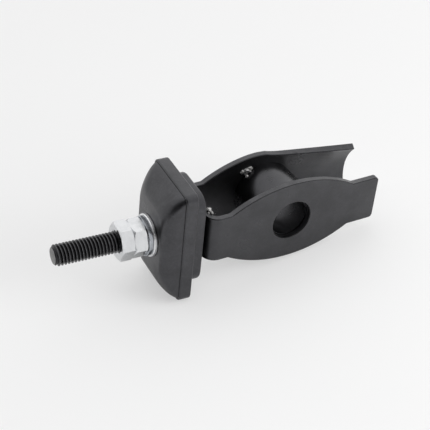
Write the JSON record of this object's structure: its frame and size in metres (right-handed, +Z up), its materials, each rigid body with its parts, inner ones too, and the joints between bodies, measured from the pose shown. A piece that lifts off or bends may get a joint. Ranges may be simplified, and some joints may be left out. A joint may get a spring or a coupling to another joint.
{
  "type": "motorcycle chain adjuster",
  "caption": "Folded steel fork with an axle tube and a threaded stud, carrying a cast end cap, washers and two thin nuts that set chain tension.",
  "frame": {"origin": "middle of the axle bore, half way between the outer faces of the fork's legs", "axes": "+X along the fork's legs, from the stud's end towards the fork's open end; +Y along the axle bore, from the flat leg to the curled leg; +Z up, square to both"},
  "size_m": [0.1284, 0.0288, 0.0468],
  "materials": {
    "yoke_coating": "satin black coating",
    "sleeve_coating": "satin black coating",
    "stud_oxide": "black oxide",
    "weld_coating": "satin black coating",
    "cap_coating": "satin black coating on a casting",
    "washer_zinc": "bright zinc plate",
    "spring_zinc": "zinc plate",
    "nut_zinc": "bright zinc plate"
  },
  "bodies": {
    "fork": {"yoke": "yoke_coating", "axle_sleeve": "sleeve_coating", "stud": "stud_oxide", "stud_weld": "weld_coating"},
    "cap": {"end_cap": "cap_coating", "flat_washer": "washer_zinc", "spring_washer": "spring_zinc"},
    "adjuster_nut": {"adjuster_nut": "nut_zinc"},
    "lock_nut": {"lock_nut": "nut_zinc"}
  },
  "joints": [
    {"name": "cap_slide", "type": "slide", "parent": "fork", "child": "cap", "axis": [-0.9983, 0.0576, 0], "range_m": [0, 0.023]},
    {"name": "adjuster_nut_spin", "type": "hinge", "parent": "cap", "child": "adjuster_nut", "pos_m": [-0.05856, 0.00134, 0], "axis": [-0.9983, 0.0576, 0], "continuous": true},
    {"name": "lock_nut_spin", "type": "hinge", "parent": "cap", "child": "lock_nut", "pos_m": [-0.06355, 0.00162, 0], "axis": [-0.9983, 0.0576, 0], "continuous": true}
  ],
  "couplings": [
    {"joint": "adjuster_nut_spin", "follows": "cap_slide", "rad_per_m": 5026.5},
    {"joint": "lock_nut_spin", "follows": "cap_slide", "rad_per_m": 5026.5}
  ]
}
